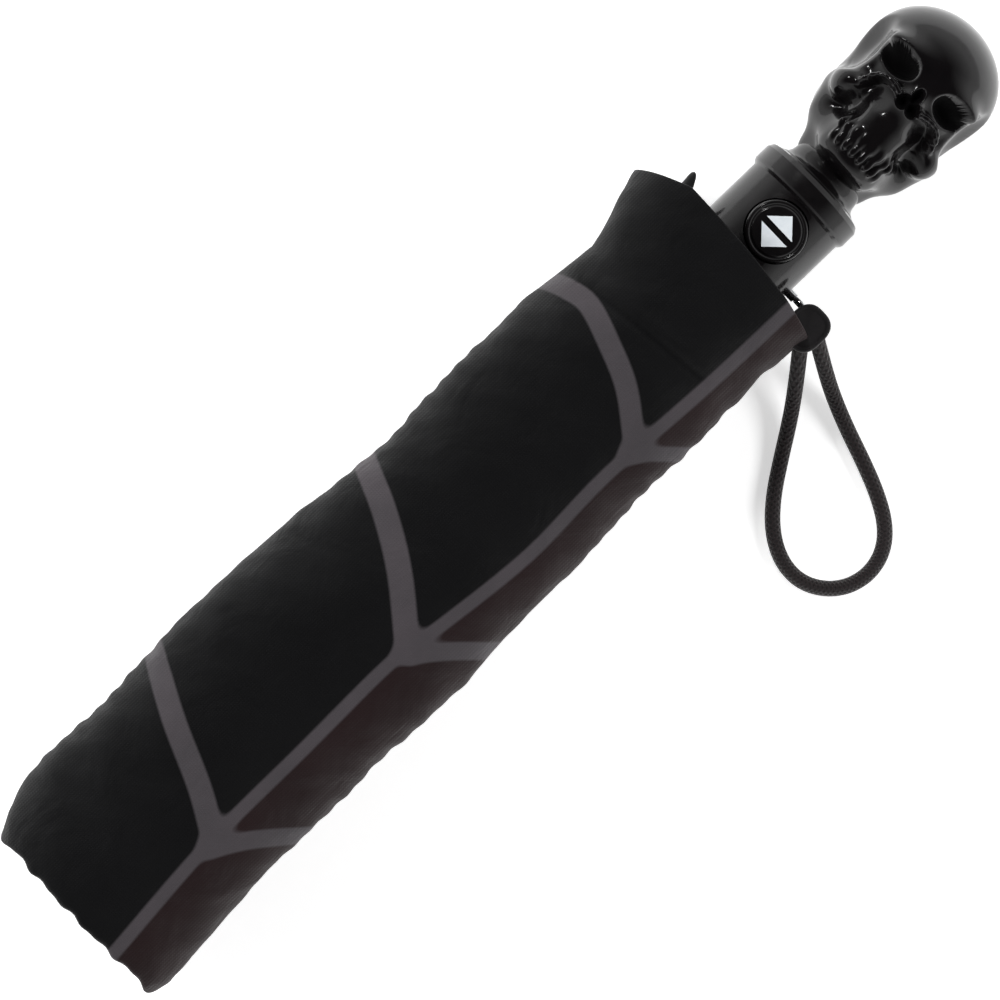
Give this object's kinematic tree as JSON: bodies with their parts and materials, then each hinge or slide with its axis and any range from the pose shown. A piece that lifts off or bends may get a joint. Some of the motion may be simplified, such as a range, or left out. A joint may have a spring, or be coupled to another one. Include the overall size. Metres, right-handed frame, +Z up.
{
  "type": "folding umbrella",
  "caption": "Compact automatic folding umbrella, furled, with a skull-shaped handle, push button, web-printed fabric and a wrist cord, lying on its side.",
  "frame": {"origin": "centre of the base of the bounding box, on the surface that the umbrella lies on, the wrist cord left out", "axes": "+X along the shaft towards the skull handle, +Y across the shaft away from the wrist cord, +Z up, the way the push button faces"},
  "size_m": [0.327, 0.1172, 0.049],
  "materials": {
    "black_casting": "high gloss",
    "black_plastic": "satin",
    "mark_white": "gloss",
    "steel": "brushed",
    "black_steel": "black painted",
    "chrome": "polished",
    "canopy_fabric": "printed pongee",
    "cord": "braided"
  },
  "bodies": {
    "handle": {"skull_handle": "black_casting", "neck_ring": "black_casting", "handle_collar": "black_casting", "outer_tube": "black_steel", "cord_eye": "chrome", "cord_knot": "black_plastic", "wrist_cord": "cord", "latch_lever": "black_plastic", "button_spring": "steel", "handle_stud": "steel"},
    "button": {"push_button": "black_plastic", "button_arrows": "mark_white"},
    "middle_tube": {"middle_tube": "black_steel"},
    "crown": {"inner_tube": "black_steel", "crown": "black_plastic", "crown_pins": "steel", "ferrule_cap": "black_plastic", "main_spring": "steel", "furled_canopy": "canopy_fabric"},
    "runner": {"runner": "black_plastic", "runner_pins": "steel"},
    "top_rib_1": {"top_rib_1": "black_steel"},
    "middle_rib_1": {"middle_rib_1": "black_steel"},
    "tip_rib_1": {"tip_rib_1": "black_steel"},
    "stretcher_1": {"stretcher_1": "black_steel"},
    "seam_tie_1": {"seam_tie_1": "canopy_fabric"},
    "hem_tie_1": {"hem_tie_1": "canopy_fabric"},
    "top_rib_2": {"top_rib_2": "black_steel"},
    "middle_rib_2": {"middle_rib_2": "black_steel"},
    "tip_rib_2": {"tip_rib_2": "black_steel", "closure_strap": "canopy_fabric", "strap_patch": "canopy_fabric"},
    "stretcher_2": {"stretcher_2": "black_steel"},
    "seam_tie_2": {"seam_tie_2": "canopy_fabric"},
    "hem_tie_2": {"hem_tie_2": "canopy_fabric"},
    "top_rib_3": {"top_rib_3": "black_steel"},
    "middle_rib_3": {"middle_rib_3": "black_steel"},
    "tip_rib_3": {"tip_rib_3": "black_steel"},
    "stretcher_3": {"stretcher_3": "black_steel"},
    "seam_tie_3": {"seam_tie_3": "canopy_fabric"},
    "hem_tie_3": {"hem_tie_3": "canopy_fabric"},
    "top_rib_4": {"top_rib_4": "black_steel"},
    "middle_rib_4": {"middle_rib_4": "black_steel"},
    "tip_rib_4": {"tip_rib_4": "black_steel"},
    "stretcher_4": {"stretcher_4": "black_steel"},
    "seam_tie_4": {"seam_tie_4": "canopy_fabric"},
    "hem_tie_4": {"hem_tie_4": "canopy_fabric"},
    "top_rib_5": {"top_rib_5": "black_steel"},
    "middle_rib_5": {"middle_rib_5": "black_steel"},
    "tip_rib_5": {"tip_rib_5": "black_steel"},
    "stretcher_5": {"stretcher_5": "black_steel"},
    "seam_tie_5": {"seam_tie_5": "canopy_fabric"},
    "hem_tie_5": {"hem_tie_5": "canopy_fabric"},
    "top_rib_6": {"top_rib_6": "black_steel"},
    "middle_rib_6": {"middle_rib_6": "black_steel"},
    "tip_rib_6": {"tip_rib_6": "black_steel"},
    "stretcher_6": {"stretcher_6": "black_steel"},
    "seam_tie_6": {"seam_tie_6": "canopy_fabric"},
    "hem_tie_6": {"hem_tie_6": "canopy_fabric"}
  },
  "joints": [
    {"name": "button_press", "type": "slide", "parent": "handle", "child": "button", "axis": [0, 0.1045, -0.9945], "range_m": [0, 0.002], "stiffness_N_per_m": 400, "deforming": ["button_spring"]},
    {"name": "shaft_extend", "type": "slide", "parent": "handle", "child": "middle_tube", "axis": [-1, 0, 0], "range_m": [0, 0.14], "deforming": ["main_spring"]},
    {"name": "inner_tube_extend", "type": "slide", "parent": "middle_tube", "child": "crown", "axis": [-1, 0, 0], "range_m": [0, 0.14]},
    {"name": "canopy_open", "type": "slide", "parent": "crown", "child": "runner", "axis": [-1, 0, 0], "range_m": [0, 0.15842], "deforming": ["furled_canopy"]},
    {"name": "top_rib_hinge_1", "type": "hinge", "parent": "crown", "child": "top_rib_1", "pos_m": [-0.15, -0.0045, 0.03179], "axis": [0, -0.866, -0.5], "range_deg": [0, 78]},
    {"name": "first_knee_1", "type": "hinge", "parent": "top_rib_1", "child": "middle_rib_1", "pos_m": [0.022, -0.00537, 0.03331], "axis": [0, 0.866, 0.5], "range_deg": [0, 188]},
    {"name": "second_knee_1", "type": "hinge", "parent": "middle_rib_1", "child": "tip_rib_1", "pos_m": [-0.096, -0.00712, 0.03634], "axis": [0, -0.866, -0.5], "range_deg": [0, 172]},
    {"name": "stretcher_hinge_1", "type": "hinge", "parent": "runner", "child": "stretcher_1", "pos_m": [0.05, -0.0045, 0.03179], "axis": [0, 0.866, 0.5], "range_deg": [0, 78]},
    {"name": "seam_tie_slide_1", "type": "slide", "parent": "top_rib_1", "child": "seam_tie_1", "axis": [-0.4891, -0.698, -0.523], "range_m": [0, 0.22417]},
    {"name": "hem_tie_slide_1", "type": "slide", "parent": "tip_rib_1", "child": "hem_tie_1", "axis": [-0.4415, -0.6326, -0.6363], "range_m": [0, 0.42761]},
    {"name": "top_rib_hinge_2", "type": "hinge", "parent": "crown", "child": "top_rib_2", "pos_m": [-0.15, -0.009, 0.024], "axis": [0, 0, -1], "range_deg": [0, 78]},
    {"name": "first_knee_2", "type": "hinge", "parent": "top_rib_2", "child": "middle_rib_2", "pos_m": [0.022, -0.01075, 0.024], "axis": [0, 0, 1], "range_deg": [0, 188]},
    {"name": "second_knee_2", "type": "hinge", "parent": "middle_rib_2", "child": "tip_rib_2", "pos_m": [-0.096, -0.01425, 0.024], "axis": [0, 0, -1], "range_deg": [0, 172]},
    {"name": "stretcher_hinge_2", "type": "hinge", "parent": "runner", "child": "stretcher_2", "pos_m": [0.05, -0.009, 0.024], "axis": [0, 0, 1], "range_deg": [0, 78]},
    {"name": "seam_tie_slide_2", "type": "slide", "parent": "top_rib_2", "child": "seam_tie_2", "axis": [-0.4891, 0.104, -0.866], "range_m": [0, 0.22417]},
    {"name": "hem_tie_slide_2", "type": "slide", "parent": "tip_rib_2", "child": "hem_tie_2", "axis": [-0.4415, 0.2347, -0.866], "range_m": [0, 0.42761]},
    {"name": "top_rib_hinge_3", "type": "hinge", "parent": "crown", "child": "top_rib_3", "pos_m": [-0.15, -0.0045, 0.01621], "axis": [0, 0.866, -0.5], "range_deg": [0, 78]},
    {"name": "first_knee_3", "type": "hinge", "parent": "top_rib_3", "child": "middle_rib_3", "pos_m": [0.022, -0.00537, 0.01469], "axis": [0, -0.866, 0.5], "range_deg": [0, 188]},
    {"name": "second_knee_3", "type": "hinge", "parent": "middle_rib_3", "child": "tip_rib_3", "pos_m": [-0.096, -0.00712, 0.01166], "axis": [0, 0.866, -0.5], "range_deg": [0, 172]},
    {"name": "stretcher_hinge_3", "type": "hinge", "parent": "runner", "child": "stretcher_3", "pos_m": [0.05, -0.0045, 0.01621], "axis": [0, -0.866, 0.5], "range_deg": [0, 78]},
    {"name": "seam_tie_slide_3", "type": "slide", "parent": "top_rib_3", "child": "seam_tie_3", "axis": [-0.4891, 0.802, -0.343], "range_m": [0, 0.22417]},
    {"name": "hem_tie_slide_3", "type": "slide", "parent": "tip_rib_3", "child": "hem_tie_3", "axis": [-0.4415, 0.8674, -0.2297], "range_m": [0, 0.42761]},
    {"name": "top_rib_hinge_4", "type": "hinge", "parent": "crown", "child": "top_rib_4", "pos_m": [-0.15, 0.0045, 0.01621], "axis": [0, 0.866, 0.5], "range_deg": [0, 78]},
    {"name": "first_knee_4", "type": "hinge", "parent": "top_rib_4", "child": "middle_rib_4", "pos_m": [0.022, 0.00538, 0.01469], "axis": [0, -0.866, -0.5], "range_deg": [0, 188]},
    {"name": "second_knee_4", "type": "hinge", "parent": "middle_rib_4", "child": "tip_rib_4", "pos_m": [-0.096, 0.00713, 0.01166], "axis": [0, 0.866, 0.5], "range_deg": [0, 172]},
    {"name": "stretcher_hinge_4", "type": "hinge", "parent": "runner", "child": "stretcher_4", "pos_m": [0.05, 0.0045, 0.01621], "axis": [0, -0.866, -0.5], "range_deg": [0, 78]},
    {"name": "seam_tie_slide_4", "type": "slide", "parent": "top_rib_4", "child": "seam_tie_4", "axis": [-0.4891, 0.698, 0.523], "range_m": [0, 0.22417]},
    {"name": "hem_tie_slide_4", "type": "slide", "parent": "tip_rib_4", "child": "hem_tie_4", "axis": [-0.4415, 0.6326, 0.6363], "range_m": [0, 0.42761]},
    {"name": "top_rib_hinge_5", "type": "hinge", "parent": "crown", "child": "top_rib_5", "pos_m": [-0.15, 0.009, 0.024], "axis": [0, 0, 1], "range_deg": [0, 78]},
    {"name": "first_knee_5", "type": "hinge", "parent": "top_rib_5", "child": "middle_rib_5", "pos_m": [0.022, 0.01075, 0.024], "axis": [0, 0, -1], "range_deg": [0, 188]},
    {"name": "second_knee_5", "type": "hinge", "parent": "middle_rib_5", "child": "tip_rib_5", "pos_m": [-0.096, 0.01425, 0.024], "axis": [0, 0, 1], "range_deg": [0, 172]},
    {"name": "stretcher_hinge_5", "type": "hinge", "parent": "runner", "child": "stretcher_5", "pos_m": [0.05, 0.009, 0.024], "axis": [0, 0, -1], "range_deg": [0, 78]},
    {"name": "seam_tie_slide_5", "type": "slide", "parent": "top_rib_5", "child": "seam_tie_5", "axis": [-0.4891, -0.104, 0.866], "range_m": [0, 0.22417]},
    {"name": "hem_tie_slide_5", "type": "slide", "parent": "tip_rib_5", "child": "hem_tie_5", "axis": [-0.4415, -0.2347, 0.866], "range_m": [0, 0.42761]},
    {"name": "top_rib_hinge_6", "type": "hinge", "parent": "crown", "child": "top_rib_6", "pos_m": [-0.15, 0.0045, 0.03179], "axis": [0, -0.866, 0.5], "range_deg": [0, 78]},
    {"name": "first_knee_6", "type": "hinge", "parent": "top_rib_6", "child": "middle_rib_6", "pos_m": [0.022, 0.00538, 0.03331], "axis": [0, 0.866, -0.5], "range_deg": [0, 188]},
    {"name": "second_knee_6", "type": "hinge", "parent": "middle_rib_6", "child": "tip_rib_6", "pos_m": [-0.096, 0.00713, 0.03634], "axis": [0, -0.866, 0.5], "range_deg": [0, 172]},
    {"name": "stretcher_hinge_6", "type": "hinge", "parent": "runner", "child": "stretcher_6", "pos_m": [0.05, 0.0045, 0.03179], "axis": [0, 0.866, -0.5], "range_deg": [0, 78]},
    {"name": "seam_tie_slide_6", "type": "slide", "parent": "top_rib_6", "child": "seam_tie_6", "axis": [-0.4891, -0.802, 0.343], "range_m": [0, 0.22417]},
    {"name": "hem_tie_slide_6", "type": "slide", "parent": "tip_rib_6", "child": "hem_tie_6", "axis": [-0.4415, -0.8674, 0.2297], "range_m": [0, 0.42761]}
  ],
  "couplings": [
    {"joint": "inner_tube_extend", "follows": "shaft_extend", "ratio": 1},
    {"joint": "top_rib_hinge_1", "follows": "canopy_open", "rad_per_m": 8.5934},
    {"joint": "first_knee_1", "follows": "canopy_open", "rad_per_m": 20.712},
    {"joint": "second_knee_1", "follows": "canopy_open", "rad_per_m": 18.95},
    {"joint": "stretcher_hinge_1", "follows": "canopy_open", "rad_per_m": 8.5934},
    {"joint": "seam_tie_slide_1", "follows": "canopy_open", "ratio": 1.4151},
    {"joint": "hem_tie_slide_1", "follows": "canopy_open", "ratio": 2.6992},
    {"joint": "top_rib_hinge_2", "follows": "canopy_open", "rad_per_m": 8.5934},
    {"joint": "first_knee_2", "follows": "canopy_open", "rad_per_m": 20.712},
    {"joint": "second_knee_2", "follows": "canopy_open", "rad_per_m": 18.95},
    {"joint": "stretcher_hinge_2", "follows": "canopy_open", "rad_per_m": 8.5934},
    {"joint": "seam_tie_slide_2", "follows": "canopy_open", "ratio": 1.4151},
    {"joint": "hem_tie_slide_2", "follows": "canopy_open", "ratio": 2.6992},
    {"joint": "top_rib_hinge_3", "follows": "canopy_open", "rad_per_m": 8.5934},
    {"joint": "first_knee_3", "follows": "canopy_open", "rad_per_m": 20.712},
    {"joint": "second_knee_3", "follows": "canopy_open", "rad_per_m": 18.95},
    {"joint": "stretcher_hinge_3", "follows": "canopy_open", "rad_per_m": 8.5934},
    {"joint": "seam_tie_slide_3", "follows": "canopy_open", "ratio": 1.4151},
    {"joint": "hem_tie_slide_3", "follows": "canopy_open", "ratio": 2.6992},
    {"joint": "top_rib_hinge_4", "follows": "canopy_open", "rad_per_m": 8.5934},
    {"joint": "first_knee_4", "follows": "canopy_open", "rad_per_m": 20.712},
    {"joint": "second_knee_4", "follows": "canopy_open", "rad_per_m": 18.95},
    {"joint": "stretcher_hinge_4", "follows": "canopy_open", "rad_per_m": 8.5934},
    {"joint": "seam_tie_slide_4", "follows": "canopy_open", "ratio": 1.4151},
    {"joint": "hem_tie_slide_4", "follows": "canopy_open", "ratio": 2.6992},
    {"joint": "top_rib_hinge_5", "follows": "canopy_open", "rad_per_m": 8.5934},
    {"joint": "first_knee_5", "follows": "canopy_open", "rad_per_m": 20.712},
    {"joint": "second_knee_5", "follows": "canopy_open", "rad_per_m": 18.95},
    {"joint": "stretcher_hinge_5", "follows": "canopy_open", "rad_per_m": 8.5934},
    {"joint": "seam_tie_slide_5", "follows": "canopy_open", "ratio": 1.4151},
    {"joint": "hem_tie_slide_5", "follows": "canopy_open", "ratio": 2.6992},
    {"joint": "top_rib_hinge_6", "follows": "canopy_open", "rad_per_m": 8.5934},
    {"joint": "first_knee_6", "follows": "canopy_open", "rad_per_m": 20.712},
    {"joint": "second_knee_6", "follows": "canopy_open", "rad_per_m": 18.95},
    {"joint": "stretcher_hinge_6", "follows": "canopy_open", "rad_per_m": 8.5934},
    {"joint": "seam_tie_slide_6", "follows": "canopy_open", "ratio": 1.4151},
    {"joint": "hem_tie_slide_6", "follows": "canopy_open", "ratio": 2.6992}
  ]
}
